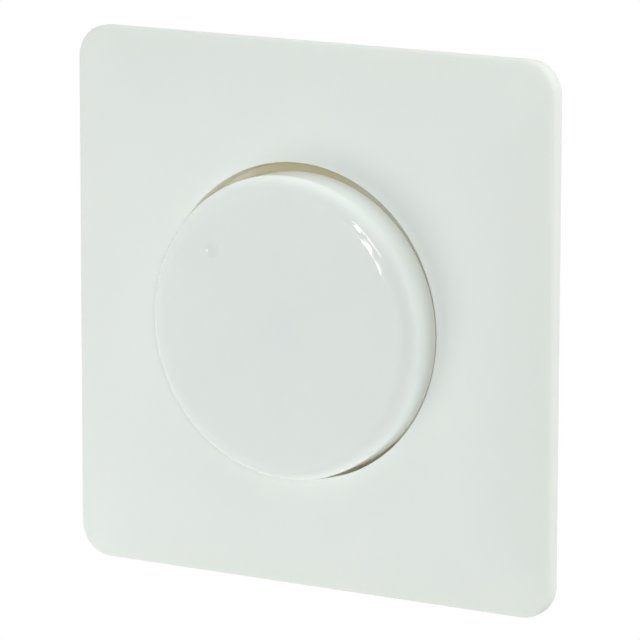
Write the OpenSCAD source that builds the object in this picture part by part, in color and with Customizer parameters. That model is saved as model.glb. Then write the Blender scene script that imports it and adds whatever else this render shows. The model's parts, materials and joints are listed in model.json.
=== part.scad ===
// Rotary push dimmer for a wall box: square cover plate, large round knob, flush insert with claws.
// Each module draws in a wall frame: x right, y up, z out of the wall. facing() turns it upright.

/* [Cover plate] */
// Side of the square cover plate
plate_side = 80; // [78:1:90]
// Corner radius of the cover plate
plate_corner_r = 5; // [3:0.5:8]
// Height of the plate's outer rim above the wall
plate_rim_h = 2; // [1.6:0.1:2.6]
// Height of the plate's face above the wall, round the knob
plate_face_h = 5.5; // [5.2:0.1:6.5]
// Wall thickness of the plate
plate_wall = 1.8; // [1.4:0.1:2]
// How far the plate sits above the shaft's centre, within its slack
plate_lift = 0.5; // [0:0.1:0.6]

/* [Knob] */
// Diameter of the knob
knob_d = 44.3; // [40:0.1:45]
// Gap between the knob and the plate's opening, when centred
knob_gap = 0.95; // [0.8:0.05:1.2]
// Height of the knob's face above the wall
knob_face_h = 10.9; // [10.2:0.1:13]
// Radius of the knob's rounded edge
knob_edge_r = 2.5; // [1:0.1:3.5]
// Travel of the knob when it is pushed
push_travel = 1.2; // [0.8:0.1:1.2]
// Angle of the index dimple, anticlockwise from the right
index_angle = 136; // [90:1:180]

/* [Insert] */
// Distance between the two box screws
box_screw_spacing = 60; // [59:0.5:61]
// Width of the housing
housing_width = 43; // [41:0.5:47]
// Height of the housing
housing_height = 46; // [43:0.5:50]
// Depth of the housing behind the wall's face
housing_depth = 24.4; // [22.4:0.1:30]
// Turning range of the control, in degrees
turn_range = 300; // [240:5:300]

/* [Hidden] */
$fn = 64;
cut = 1;
slack = 0.35;
running_fit = 0.06;
seat_fit = 0.05;

// Plate and knob
opening_r = knob_d / 2 + knob_gap;
flat_half = opening_r + 2.4;
roll_w = plate_side / 2 - flat_half;
roll_drop = plate_face_h - plate_rim_h;
roll_r = (roll_w * roll_w + roll_drop * roll_drop) / (2 * roll_drop);
rim_room = 2.7;
frame_side = plate_side - 2 * (plate_wall + rim_room);
frame_t = 1;
floor_t = 1.2;
cup_wall = 1;
floor_top = frame_t + floor_t;
skirt_z = floor_top + push_travel + 0.4;
knob_wall = 1.6;
knob_ceiling = knob_face_h - 1.8;
index_r = 0.35 * knob_d;
index_ball_r = 4;
index_depth = 0.18;

// Housing and board
housing_size = [housing_width, housing_height];
housing_corner_r = 12;
housing_wall = 1.6;
back_wall = 2;
lid_t = 2;
inner_size = housing_size - 2 * [housing_wall, housing_wall];
inner_corner_r = housing_corner_r - housing_wall;
inner_back = -housing_depth + back_wall;
post_inset = 6.7;
post_at = housing_size / 2 - [post_inset, post_inset];
post_r = 2.6;
post_edge = post_at[0] - post_r;
screw_r = 1.25;
solder_room = 2;
pin_out = 0.8;
board_t = 1.6;
board_back = inner_back + solder_room;
board_front = board_back + board_t;
board_room = -lid_t - board_front;
standoff_x = inner_size[0] / 2 - 3.9;

// Triac on its heat lug, choke and capacitors
lug_t = 1;
lug_y = inner_size[1] / 2 - lug_t - 2.8;
lug_half = 6;
lug_low = board_front + 4.8;
pad_t = 0.2;
tab_t = 1.3;
triac_low = board_front + 2.4;
triac_hole_z = -lid_t - 2.8;
triac_bolt_r = 1.5;
lead_pitch = 2.54;
wire_r = 0.35;
turns = 18;
choke_section = 1.9;
winding_gap = 0.15;
choke_r = board_room / 2 - choke_section - 2 * wire_r - 0.8;
choke = [inner_size[0] / 2 - 4.7, 3.6, board_front + board_room / 2];
film_size = [0.18 * inner_size[0], 13.6, 0.65 * board_room];
film_x = -inner_size[0] / 2 + 0.7;

// Terminals: a captive screw draws the cage down, and the cage clamps the wire on the bar
partition_t = 1.6;
partition_gap = 0.4;
post_gap = 0.5;
terminal_pitch = (post_edge - post_gap + partition_t / 2 + partition_gap) / 1.5;
wire_y = -inner_size[1] / 2 + 8;
wire_hole_r = 1.9;
bar_top = wire_y - 2.1;
bar_t = 1;
cage_w = terminal_pitch - partition_t - 2 * partition_gap;
cage_wall = 0.9;
bar_half = cage_w / 2 - cage_wall - 0.7;
cage_back = inner_back + 1.8;
cage_front = cage_back + 6;
cage_roof = wire_y + 2.1;
cage_roof_t = 1.4;
nut_wall_t = 1.8;
nut_wall_top = bar_top - bar_t - 0.5;
clamp_travel = 2.2;
terminal_r = 1.5;
head_r = 2.3;
head_t = 1.6;
screw_z = (cage_front + cage_back) / 2;
shelf_t = 1.6;
shelf_z = cage_front + 3.3;
bar_front = shelf_z - shelf_t;
bar_pin_y = wire_y + 6.2;
board_low = wire_y + 4;
block_top = wire_y + 3.8;
fuse_at = [0, wire_y - 2.6, (shelf_z - lid_t) / 2];
fuse_r = 2.6;
fuse_half = post_edge - 2.2;
fuse_cap_x = 0.75 * fuse_half;

// Control stack, from the front to the back
shaft_r = 2;
flat_depth = 0.6;
bush_r = 4;
washer_t = 0.4;
nut_t = 1.6;
nut_flats = 12;
bush_top = floor_top + washer_t + nut_t + 0.2;
hub_z = bush_top + push_travel + 0.3;
hub_r = 4.2;
shaft_front = knob_face_h - 1.2;
flange_r = 7;
flange_t = 1;
spigot_r = 3.2;
base_t = 1.6;
switch_back = board_front + base_t;
pot_share = 0.49;
case_r = 10;
case_wall = 1;
case_front = -lid_t;
case_back = case_front - pot_share * (case_front - switch_back);
track_t = 0.3;
track_out = case_r - 1.6;
track_in = track_out - 3.2;
ring_t = 0.6;
groove_r = 1.5;
groove_front = case_back + push_travel + ring_t + 0.3;
rotor_front = case_front - case_wall - 1;
rotor_back = groove_front + 0.35;
rotor_r = case_r - case_wall - 0.4;
switch_wall = 1.2;
switch_w = 0.377 * inner_size[0];
switch_h = -2 * (bar_pin_y + 1.2);
shaft_back = case_back - switch_wall - 0.3;
plunger_front = shaft_back - 0.05;
plunger_r = 2.6;
plunger_t = (case_back - switch_back) / 3;
plunger_back = plunger_front - plunger_t;
bridge_t = 0.5;
bridge_front = plunger_front - 0.54 * plunger_t;
bridge_w = switch_w - 2 * switch_wall - 1.6;
bridge_h = 2.4;
contact_x = bridge_w / 2 - 1.1;
contact_half = [0.8, 1.2];

// Claws: each hinges on a pin beside the housing and is drawn by a screw further out
claw_gap = 0.3;
pin_r = 0.8;
eye_r = 1.5;
pivot_x = housing_size[0] / 2 + claw_gap + eye_r;
pivot_z = -3.4;
claw_h = 10;
claw_t = 1.5;
claw_arm = 3.5;
claw_screw_x = pivot_x + claw_arm;
claw_screw_r = 1.5;
claw_screw_l = 9;
claw_tip_z = -housing_depth + 2.4;
lug_gap = 0.4;
lug_ear_t = 1.2;

// Shared shapes

module facing() {
  rotate([90, 0, 0]) children();
}

// A rectangle with round corners
module rounded(size, r) {
  square([size[0] - 2 * r, size[1]], center = true);
  square([size[0], size[1] - 2 * r], center = true);
  for (sx = [-1, 1], sy = [-1, 1])
    translate([sx * (size[0] / 2 - r), sy * (size[1] / 2 - r)]) circle(r);
}

// A solid from height z0 to z1 over a rectangle with round corners
module block_round(size, r, z0, z1) {
  translate([0, 0, z0]) linear_extrude(z1 - z0) rounded(size, r);
}

// Copies at the four housing screws
module at_posts() {
  for (sx = [-1, 1], sy = [-1, 1])
    translate([sx * post_at[0], sy * post_at[1], 0]) children();
}

// A cylinder along z from z0 to z1
module rod(r, z0, z1) {
  translate([0, 0, z0]) cylinder(r = r, h = z1 - z0);
}

// A box between two corners
module span(a, b) {
  translate(a) cube(b - a);
}

// Section of the cushion: flat in the middle, rolled off towards both edges
module cushion_section(half, top, r, base) {
  intersection() {
    translate([-half, base]) square([2 * half, top - base]);
    union() {
      translate([-flat_half, base]) square([2 * flat_half, top - base]);
      for (s = [-1, 1])
        translate([s * flat_half, top - r]) circle(r);
    }
  }
}

// Cushion-shaped slab: the section swept both ways, inside the rounded outline
module cushion(side, corner, top, r, base) {
  intersection() {
    block_round([side, side], corner, base, top + cut);
    rotate([90, 0, 0])
      linear_extrude(side + cut, center = true) cushion_section(side / 2, top, r, base);
    rotate([90, 0, 90])
      linear_extrude(side + cut, center = true) cushion_section(side / 2, top, r, base);
  }
}

// Shaft section with one flat, grown by a clearance
module shaft_section(grow) {
  difference() {
    circle(shaft_r + grow);
    translate([-shaft_r - cut, shaft_r - flat_depth + grow]) square([2 * shaft_r + 2 * cut, shaft_r]);
  }
}

// Screw along z: shank from z0 to z1, pan head on top with a cross recess
module cross_screw(r, z0, z1, head_radius, head_height, arm = 1.6) {
  difference() {
    union() {
      rod(r, z0, z1 + seat_fit);
      rod(head_radius, z1, z1 + head_height);
    }
    for (a = [0, 90])
      rotate(a)
        translate([-arm, -0.3, z1 + head_height - 0.9]) cube([2 * arm, 0.6, 1 + cut]);
  }
}

// Round wire wound on a torus or a cylinder, swept from a list of points
module wire_sweep(points, r, sides = 6) {
  n = len(points);
  rings = [for (i = [0 : n - 1])
    let (
      ahead = points[min(i + 1, n - 1)],
      behind = points[max(i - 1, 0)],
      t = (ahead - behind) / norm(ahead - behind),
      guide = abs(t[0]) < 0.8 ? [1, 0, 0] : [0, 1, 0],
      u = cross(t, guide) / norm(cross(t, guide)),
      v = cross(t, u)
    )
    for (k = [0 : sides - 1])
      points[i] + r * (cos(360 * k / sides) * u + sin(360 * k / sides) * v)];
  walls = [for (i = [0 : n - 2], k = [0 : sides - 1])
    let (a = i * sides + k, b = i * sides + (k + 1) % sides)
    for (half = [[a, b, b + sides], [a, b + sides, a + sides]]) half];
  first = [[for (k = [sides - 1 : -1 : 0]) k]];
  last = [[for (k = [0 : sides - 1]) (n - 1) * sides + k]];
  polyhedron(rings, concat(walls, first, last), convexity = 10);
}

// Cover plate and its fixing

module cover_plate() {
  color("whitesmoke") facing() translate([0, plate_lift, 0])
    difference() {
      union() {
        difference() {
          cushion(plate_side, plate_corner_r, plate_face_h, roll_r, 0);
          cushion(plate_side - 2 * plate_wall, plate_corner_r - plate_wall,
                  plate_face_h - plate_wall, roll_r - plate_wall, -cut);
        }
        rod(opening_r + cup_wall, frame_t, plate_face_h);
      }
      rod(opening_r, floor_top, plate_face_h + cut);
      rod(bush_r + plate_lift + slack, 0, floor_top + cut);
    }
}

module plate_nut() {
  z0 = floor_top + washer_t;
  color("silver") facing()
    difference() {
      rotate(30) translate([0, 0, z0]) cylinder(d = nut_flats / cos(30), h = nut_t, $fn = 6);
      rod(bush_r + seat_fit, z0 - cut, z0 + nut_t + cut);
    }
}

module lock_washer() {
  color("gray") facing()
    translate([0, 0, floor_top]) linear_extrude(washer_t)
      difference() {
        union() {
          circle(bush_r + 3.2);
          for (i = [0 : 5])
            rotate(30 * i) square([2 * (bush_r + 4.2), 1.2], center = true);
        }
        circle(bush_r + seat_fit);
      }
}

// Knob, shaft and what rides on them

module knob_section() {
  r = knob_d / 2;
  difference() {
    union() {
      translate([0, skirt_z]) square([r, knob_face_h - knob_edge_r - skirt_z]);
      translate([0, skirt_z]) square([r - knob_edge_r, knob_face_h - skirt_z]);
      translate([r - knob_edge_r, knob_face_h - knob_edge_r]) circle(knob_edge_r);
    }
    translate([0, skirt_z - cut]) square([r - knob_wall, knob_face_h - knob_edge_r - skirt_z + cut]);
    translate([0, skirt_z - cut]) square([r - knob_edge_r - knob_wall / 2, knob_ceiling - skirt_z + cut]);
  }
}

module dimmer_knob() {
  rib_r = knob_d / 2 - knob_wall + 0.2;
  color("white") facing()
    difference() {
      union() {
        rotate_extrude() knob_section();
        rod(hub_r, hub_z, knob_ceiling + 0.2);
        for (i = [0 : 5])
          rotate(30 + 60 * i)
            translate([hub_r + 1.4, -0.5, knob_face_h - knob_edge_r - 1.2])
              cube([rib_r - hub_r - 1.4, 1, knob_ceiling - knob_face_h + knob_edge_r + 1.4]);
      }
      translate([0, 0, hub_z - cut])
        linear_extrude(shaft_front + seat_fit - hub_z + cut) shaft_section(seat_fit);
      translate([-hub_r - cut, -0.4, hub_z - cut]) cube([2 * (hub_r + cut), 0.8, knob_ceiling - hub_z + cut]);
      rotate(index_angle)
        translate([index_r, 0, knob_face_h + index_ball_r - index_depth]) sphere(index_ball_r);
    }
}

module knob_spring_ring() {
  z0 = hub_z + 0.5;
  color("lightsteelblue") facing()
    difference() {
      rod(hub_r + seat_fit + 0.45, z0, z0 + 1.6);
      rod(hub_r + seat_fit, z0 - cut, z0 + 1.6 + cut);
      translate([2, -1.6, z0 - cut]) cube([4, 3.2, 1.6 + 2 * cut]);
    }
}

module control_shaft() {
  color("silver") facing()
    difference() {
      rod(shaft_r, shaft_back, shaft_front);
      translate([-shaft_r - cut, shaft_r - flat_depth, bush_top + 0.2])
        cube([2 * (shaft_r + cut), shaft_r, shaft_front]);
      translate([-shaft_r - cut, shaft_r - flat_depth, shaft_back - cut])
        cube([2 * (shaft_r + cut), shaft_r, rotor_front + push_travel + 0.3 - shaft_back + cut]);
      difference() {
        rod(shaft_r + cut, groove_front - ring_t - 0.1, groove_front);
        rod(groove_r, groove_front - ring_t - 0.2, groove_front + cut);
      }
    }
}

module retaining_ring() {
  z0 = groove_front - ring_t - 0.05;
  color("dimgray") facing()
    difference() {
      rod(3.4, z0, z0 + ring_t);
      rod(groove_r + seat_fit, z0 - cut, z0 + ring_t + cut);
      translate([-1.2, -4, z0 - cut]) cube([2.4, 4, ring_t + 2 * cut]);
    }
}

// Potentiometer

module threaded_bush() {
  color("goldenrod") facing()
    difference() {
      union() {
        rod(bush_r, -flange_t - 0.2, bush_top);
        rod(flange_r, case_front, case_front + flange_t);
        rod(spigot_r, case_front - case_wall, case_front + 0.2);
      }
      rod(shaft_r + running_fit, case_front - case_wall - cut, bush_top + cut);
    }
}

module pot_case() {
  color("tan") facing()
    difference() {
      rod(case_r, case_back, case_front);
      rod(case_r - case_wall, case_back - cut, case_front - case_wall);
      rod(spigot_r + seat_fit, case_back, case_front + cut);
    }
}

module resistance_track() {
  z1 = case_front - case_wall;
  open_half = (360 - turn_range) / 4;
  color("black") facing()
    difference() {
      rod(track_out, z1 - track_t, z1);
      rod(track_in, z1 - track_t - cut, z1 + cut);
      translate([0, 0, z1 - track_t - cut]) linear_extrude(track_t + 2 * cut)
        polygon(case_r * [[0, 0], [sin(-open_half), -1], [sin(open_half), -1]]);
    }
}

module pot_rotor() {
  color("ivory") facing()
    difference() {
      rod(rotor_r, rotor_back, rotor_front);
      translate([0, 0, rotor_back - cut]) linear_extrude(rotor_front - rotor_back + 2 * cut)
        shaft_section(running_fit);
    }
}

module wiper_contact() {
  tip_z = case_front - case_wall - track_t - seat_fit;
  color("gold") facing() rotate(index_angle)
    union() {
      difference() {
        rod(track_in - 0.6, rotor_front, rotor_front + 0.3);
        rod(track_in - 2, rotor_front - cut, rotor_front + 0.3 + cut);
      }
      span([track_in - 1.2, -1, rotor_front], [track_out - 0.4, 1, rotor_front + 0.3]);
      span([track_in + 1, -0.8, rotor_front + 0.2], [track_out - 1, 0.8, tip_z]);
    }
}

module pot_pins() {
  color("gold") facing()
    for (x = [-case_r / 2 : case_r / 2 : case_r / 2])
      span([x - 0.5, case_r, board_back - pin_out], [x + 0.5, case_r + 0.4, case_back + 1]);
}

// Push switch

module switch_body() {
  color("dimgray") facing()
    difference() {
      span([-switch_w / 2, -switch_h / 2, switch_back], [switch_w / 2, switch_h / 2, case_back]);
      span([-switch_w / 2 + switch_wall, -switch_h / 2 + switch_wall, switch_back - cut],
           [switch_w / 2 - switch_wall, switch_h / 2 - switch_wall, case_back - switch_wall]);
      rod(shaft_r + slack, case_back - switch_wall - cut, case_back + cut);
    }
}

module switch_base() {
  color("gray") facing()
    difference() {
      span([-switch_w / 2, -switch_h / 2, switch_back - base_t], [switch_w / 2, switch_h / 2, switch_back]);
      for (s = [-1, 1])
        translate([s * contact_x, 0, switch_back - base_t / 2])
          cube([2 * contact_half[0] + 0.1, 2 * contact_half[1] + 0.1, base_t + cut], center = true);
    }
}

module switch_plunger() {
  color("firebrick") facing()
    difference() {
      union() {
        rod(plunger_r, plunger_back, plunger_front);
        rod(1.2, plunger_back - 1, plunger_back + 0.2);
      }
      translate([0, 0, bridge_front - bridge_t / 2])
        cube([4 * plunger_r, bridge_h + 2 * seat_fit, bridge_t + 2 * seat_fit], center = true);
    }
}

module contact_bridge() {
  color("gold") facing()
    translate([0, 0, bridge_front - bridge_t / 2]) cube([bridge_w, bridge_h, bridge_t], center = true);
}

module fixed_contacts() {
  top = bridge_front - bridge_t - push_travel - seat_fit;
  color("goldenrod") facing()
    for (s = [-1, 1])
      span([s * contact_x - contact_half[0], -contact_half[1], board_back - pin_out],
           [s * contact_x + contact_half[0], contact_half[1], top]);
}

module return_spring() {
  spring_r = 2;
  wire = 0.22;
  coils = 3.5;
  front = plunger_back - wire - seat_fit;
  back = switch_back + wire + seat_fit;
  color("silver") facing()
    wire_sweep([for (i = [0 : 42])
      [spring_r * cos(360 * coils * i / 42), spring_r * sin(360 * coils * i / 42),
       back + (front - back) * i / 42]], wire);
}

// Steel support frame

module support_frame() {
  slot_r = 1.75;
  slot_half = 1.75;
  ear_z = pivot_z - eye_r - 0.4;
  color("silver") facing()
    difference() {
      union() {
        block_round([frame_side, frame_side], 4, 0, frame_t);
        span([-lug_half, lug_y, lug_low], [lug_half, lug_y + lug_t, frame_t / 2]);
        for (sx = [-1, 1], sy = [-1, 1])
          translate([sx * pivot_x, sy * (claw_h / 2 + lug_gap + lug_ear_t / 2), (ear_z + frame_t / 2) / 2])
            cube([3.2, lug_ear_t, frame_t / 2 - ear_z], center = true);
      }
      rod(bush_r + slack, -cut, frame_t + cut);
      for (sy = [-1, 1])
        translate([0, sy * box_screw_spacing / 2, 0]) {
          for (s = [-1, 1])
            translate([0, s * slot_half, 0]) rod(slot_r, -cut, frame_t + cut);
          span([-slot_r, -slot_half, -cut], [slot_r, slot_half, frame_t + cut]);
        }
      for (sx = [-1, 1])
        translate([sx * claw_screw_x, 0, 0]) rod(claw_screw_r + slack, -cut, frame_t + cut);
      at_posts() rod(screw_r + seat_fit, -cut, frame_t + cut);
      for (sx = [-1, 1])
        translate([sx * pivot_x, 0, pivot_z]) rotate([90, 0, 0])
          cylinder(r = pin_r + seat_fit, h = 3 * claw_h, center = true);
      translate([0, lug_y, triac_hole_z]) rotate([90, 0, 0])
        cylinder(r = triac_bolt_r + slack, h = 4, center = true);
    }
}

// Housing

module housing_cover() {
  color("dimgray") facing()
    difference() {
      block_round(housing_size, housing_corner_r, -lid_t, 0);
      rod(bush_r + slack, -lid_t - cut, cut);
      rod(flange_r + seat_fit, -lid_t - cut, -lid_t + flange_t);
      span([-lug_half - 0.2, lug_y - 0.2, -lid_t - cut], [lug_half + 0.2, lug_y + lug_t + 0.2, cut]);
      at_posts() rod(screw_r + 0.15, -lid_t - cut, cut);
    }
}

module housing_base() {
  vent_pitch = 4;
  vent = [vent_pitch / 2, 4, 0.37 * housing_depth];
  color("dimgray") facing()
    difference() {
      union() {
        difference() {
          block_round(housing_size, housing_corner_r, -housing_depth, -lid_t);
          block_round(inner_size, inner_corner_r, inner_back, -lid_t + cut);
        }
        at_posts() rod(post_r, inner_back - 0.2, -lid_t);
        for (sx = [-1, 1])
          translate([sx * standoff_x, 1, 0]) rod(1.4, inner_back - 0.2, board_back);
      }
      at_posts() rod(screw_r + 0.15, -housing_depth - cut, cut);
      at_posts() rod(2.4, -housing_depth - cut, -housing_depth + 1.2);
      for (i = [-1 : 1])
        translate([i * terminal_pitch, wire_y, 0]) rod(wire_hole_r, -housing_depth - cut, inner_back + cut);
      for (i = [-1 : 1])
        translate([i * terminal_pitch, -housing_size[1] / 2, screw_z]) rotate([90, 0, 0])
          cylinder(r = head_r + slack, h = 4, center = true);
      for (i = [-2 : 2])
        translate([i * vent_pitch, housing_size[1] / 2, -0.47 * housing_depth]) cube(vent, center = true);
    }
}

module housing_screws() {
  color("silver") facing()
    at_posts()
      translate([0, 0, -housing_depth + 1.2]) rotate([180, 0, 0])
        cross_screw(screw_r, -housing_depth + 0.3, 0, 2.2, 1.2, 1.4);
}

// Electronics

module circuit_board() {
  color("darkgreen") facing()
    difference() {
      intersection() {
        block_round(inner_size - [0.6, 0.6], inner_corner_r - 0.3, board_back, board_front);
        span([-inner_size[0], board_low, board_back - cut],
             [inner_size[0], inner_size[1], board_front + cut]);
      }
      at_posts() rod(post_r + 0.2, board_back - cut, board_front + cut);
      for (x = [-case_r / 2 : case_r / 2 : case_r / 2])
        translate([x, case_r + 0.2, 0]) rod(0.7, board_back - cut, board_front + cut);
      for (s = [-1, 1])
        translate([s * contact_x, 0, board_back + board_t / 2])
          cube([2 * contact_half[0] + 0.2, 2 * contact_half[1] + 0.2, board_t + cut], center = true);
      for (i = [-1 : 1])
        span([i * terminal_pitch - 0.8, bar_pin_y - 1.1, board_back - cut],
             [i * terminal_pitch + 0.8, bar_pin_y + 0.1, board_front + cut]);
      for (i = [-1 : 1])
        translate([i * lead_pitch, lug_y - pad_t - 2.6, 0]) rod(0.75, board_back - cut, board_front + cut);
    }
}

module triac() {
  back_y = lug_y - pad_t;
  half = lug_half - 1;
  body_top = triac_hole_z - 2.8;
  color("black") facing()
    difference() {
      union() {
        span([-half, back_y - tab_t, body_top - 0.2], [half, back_y, -lid_t - 0.4]);
        span([-half, back_y - 4.5, triac_low], [half, back_y, body_top]);
        for (i = [-1 : 1])
          translate([i * lead_pitch, back_y - 2.6, 0])
            span([-0.4, -0.25, board_back - pin_out], [0.4, 0.25, triac_low + 0.2]);
      }
      translate([0, back_y, triac_hole_z]) rotate([90, 0, 0])
        cylinder(r = triac_bolt_r + 0.2, h = 12, center = true);
    }
}

module triac_pad() {
  color("lightgray") facing()
    difference() {
      span([-lug_half + 0.4, lug_y - pad_t, lug_low + 0.4], [lug_half - 0.4, lug_y, -lid_t - 0.2]);
      translate([0, lug_y, triac_hole_z]) rotate([90, 0, 0])
        cylinder(r = triac_bolt_r + 0.2, h = 4, center = true);
    }
}

module triac_screw() {
  under_head = lug_y - pad_t - tab_t;
  color("silver") facing()
    translate([0, under_head, triac_hole_z]) rotate([90, 0, 0])
      union() {
        cross_screw(triac_bolt_r, -(lug_y + lug_t + 2 - under_head), 0, 2.3, 1.6, 1.5);
        translate([0, 0, -(lug_y + lug_t + 1.6 - under_head)]) cylinder(d = 5 / cos(30), h = 1.6, $fn = 6);
      }
}

module choke_core() {
  color("darkgray") facing()
    translate(choke) rotate([0, 90, 0])
      rotate_extrude() translate([choke_r, 0]) circle(choke_section);
}

// One unbroken wire: in from the board, round the core, and back to the board
module choke_winding() {
  steps = turns * 10;
  coil_r = choke_section + wire_r + winding_gap;
  arc = 290;
  function on_core(i) =
    let (a = 270 - (360 - arc) / 2 - arc * i / steps, b = 360 * turns * i / steps)
    [coil_r * sin(b), (choke_r + coil_r * cos(b)) * cos(a), (choke_r + coil_r * cos(b)) * sin(a)];
  lead_end = board_front - choke[2] + 0.2;
  first = on_core(0);
  last = on_core(steps);
  color("chocolate") facing()
    translate(choke)
      wire_sweep(concat(
        [[0, first[1], lead_end]], [[0, first[1], first[2] - 1.4]],
        [for (i = [0 : steps]) on_core(i)],
        [[0, last[1], last[2] - 1.4]], [[0, last[1], lead_end]]), wire_r);
}

module film_capacitor() {
  color("gold") facing()
    translate([film_x, -4, board_front]) cube(film_size);
}

module timing_capacitor() {
  color("firebrick") facing()
    translate([-post_edge + 0.6, lug_y - 6, board_front]) cube([4, 4.8, 0.39 * board_room]);
}

module resistors() {
  side_x = (switch_w / 2 + choke[0] - choke_section - 2 * wire_r) / 2;
  top_y = case_r - 1.8;
  color("steelblue") facing()
    for (at = [[-side_x, 0, 0], [side_x, 0, 0], [0, top_y, 90]])
      translate([at[0], at[1], board_front + 1.3]) rotate(at[2])
        union() {
          rotate([90, 0, 0]) cylinder(r = 1.1, h = 5, center = true);
          rotate([90, 0, 0]) cylinder(r = 0.3, h = 7.2, center = true);
          for (s = [-1, 1])
            translate([0, 3.3 * s, 0]) rod(0.3, -1.3, 0);
        }
}

module fuse() {
  color("azure") facing()
    translate(fuse_at) rotate([0, 90, 0])
      union() {
        cylinder(r = fuse_r - 0.3, h = 1.9 * fuse_half, center = true);
        for (s = [-1, 1])
          translate([0, 0, s * fuse_cap_x]) cylinder(r = fuse_r, h = fuse_half / 2, center = true);
      }
}

module fuse_clips() {
  color("goldenrod") facing()
    for (s = [-1, 1])
      translate(fuse_at + [s * fuse_cap_x, 0, 0])
        difference() {
          union() {
            rotate([0, 90, 0]) cylinder(r = fuse_r + 0.5, h = 3.6, center = true);
            span([-1.8, -1.5, shelf_z - fuse_at[2]], [1.8, 1.5, -2.5]);
          }
          rotate([0, 90, 0]) cylinder(r = fuse_r + seat_fit, h = 6, center = true);
          span([-3, -1.6, 1], [3, 1.6, 5]);
        }
}

// Terminals

module terminal_block() {
  x_half = 1.5 * terminal_pitch - 1.4;
  floor_y = -inner_size[1] / 2;
  color("whitesmoke") facing()
    union() {
      span([-x_half, floor_y + 0.4, bar_front], [x_half, block_top, shelf_z]);
      for (i = [-0.5, 0.5])
        translate([i * terminal_pitch, 0, 0])
          span([-partition_t / 2, floor_y, inner_back], [partition_t / 2, block_top, bar_front + 0.2]);
    }
}

module terminal_bars() {
  color("gold") facing()
    for (i = [-1 : 1])
      translate([i * terminal_pitch, 0, 0])
        union() {
          span([-bar_half, bar_top - bar_t, cage_back - 0.8], [bar_half, bar_top, bar_front]);
          span([-bar_half, bar_top - bar_t, bar_front - bar_t], [bar_half, bar_pin_y, bar_front]);
          span([-0.6, bar_pin_y - 1, board_back - pin_out], [0.6, bar_pin_y, bar_front]);
        }
}

module terminal_cage(i) {
  low = nut_wall_top - nut_wall_t;
  high = cage_roof + cage_roof_t;
  color("orange") facing()
    translate([i * terminal_pitch, 0, 0])
      difference() {
        span([-cage_w / 2, low, cage_back], [cage_w / 2, high, cage_front]);
        span([-cage_w / 2 + cage_wall, nut_wall_top, cage_back - cut],
             [cage_w / 2 - cage_wall, cage_roof, cage_front + cut]);
        translate([0, low - cut, screw_z]) rotate([-90, 0, 0])
          cylinder(r = terminal_r + running_fit, h = nut_wall_t + 2 * cut);
      }
}

module terminal_cage_1() { terminal_cage(-1); }
module terminal_cage_2() { terminal_cage(0); }
module terminal_cage_3() { terminal_cage(1); }

module terminal_screw(i) {
  tip = bar_top - bar_t - seat_fit;
  seat = nut_wall_top - nut_wall_t - clamp_travel - 0.1;
  color("silver") facing()
    translate([i * terminal_pitch, seat, screw_z]) rotate([90, 0, 0])
      cross_screw(terminal_r, seat - tip, 0, head_r, head_t);
}

module terminal_screw_1() { terminal_screw(-1); }
module terminal_screw_2() { terminal_screw(0); }
module terminal_screw_3() { terminal_screw(1); }

// Claws

module claw() {
  inner_x = housing_size[0] / 2 + claw_gap;
  tab_out = claw_screw_x + 3.1;
  slot_r = 1.85;
  slot_x = claw_screw_x + 0.1;
  slot_half = 0.25;
  difference() {
    union() {
      translate([pivot_x, 0, pivot_z]) rotate([90, 0, 0]) cylinder(r = eye_r, h = claw_h, center = true);
      span([pivot_x, -claw_h / 2, pivot_z - claw_t / 2], [tab_out, claw_h / 2, pivot_z + claw_t / 2]);
      span([inner_x, -claw_h / 2, claw_tip_z], [inner_x + claw_t, claw_h / 2, pivot_z]);
      span([inner_x, -claw_h / 2, claw_tip_z], [inner_x + 2, claw_h / 2, claw_tip_z + claw_t]);
      for (y = [-3.4, 0, 3.4])
        translate([inner_x + 1.9, y, claw_tip_z]) linear_extrude(claw_t)
          polygon([[0, -1.5], [2.4, 0], [0, 1.5]]);
    }
    translate([pivot_x, 0, pivot_z]) rotate([90, 0, 0])
      cylinder(r = pin_r + running_fit, h = 2 * claw_h, center = true);
    for (s = [-1, 1])
      translate([slot_x + s * slot_half, 0, 0]) rod(slot_r, pivot_z - claw_t, pivot_z + claw_t);
    span([slot_x - slot_half, -slot_r, pivot_z - claw_t], [slot_x + slot_half, slot_r, pivot_z + claw_t]);
  }
}

module claw_right() {
  color("slategray") facing() claw();
}

module claw_left() {
  color("slategray") facing() rotate(180) claw();
}

module claw_screw(side) {
  color("silver") facing()
    translate([side * claw_screw_x, 0, frame_t])
      cross_screw(claw_screw_r, -claw_screw_l, 0, head_r, head_t);
}

module claw_screw_right() { claw_screw(1); }
module claw_screw_left() { claw_screw(-1); }

module claw_pins() {
  half = claw_h / 2 + lug_gap + lug_ear_t + 0.4;
  color("gray") facing()
    for (sx = [-1, 1])
      translate([sx * pivot_x, 0, pivot_z]) rotate([90, 0, 0])
        cylinder(r = pin_r, h = 2 * half, center = true);
}

cover_plate();
plate_nut();
lock_washer();
dimmer_knob();
knob_spring_ring();
control_shaft();
retaining_ring();
threaded_bush();
pot_case();
resistance_track();
pot_rotor();
wiper_contact();
pot_pins();
switch_body();
switch_base();
switch_plunger();
contact_bridge();
fixed_contacts();
return_spring();
support_frame();
housing_cover();
housing_base();
housing_screws();
circuit_board();
triac();
triac_pad();
triac_screw();
choke_core();
choke_winding();
film_capacitor();
timing_capacitor();
resistors();
fuse();
fuse_clips();
terminal_block();
terminal_bars();
terminal_cage_1();
terminal_cage_2();
terminal_cage_3();
terminal_screw_1();
terminal_screw_2();
terminal_screw_3();
claw_left();
claw_right();
claw_screw_left();
claw_screw_right();
claw_pins();
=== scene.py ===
"""Rotary push dimmer: the cover plate, the knob and the insert, dressed over the loaded frame."""

import json
import math

import bmesh
import bpy
from mathutils import Matrix, Vector

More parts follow.
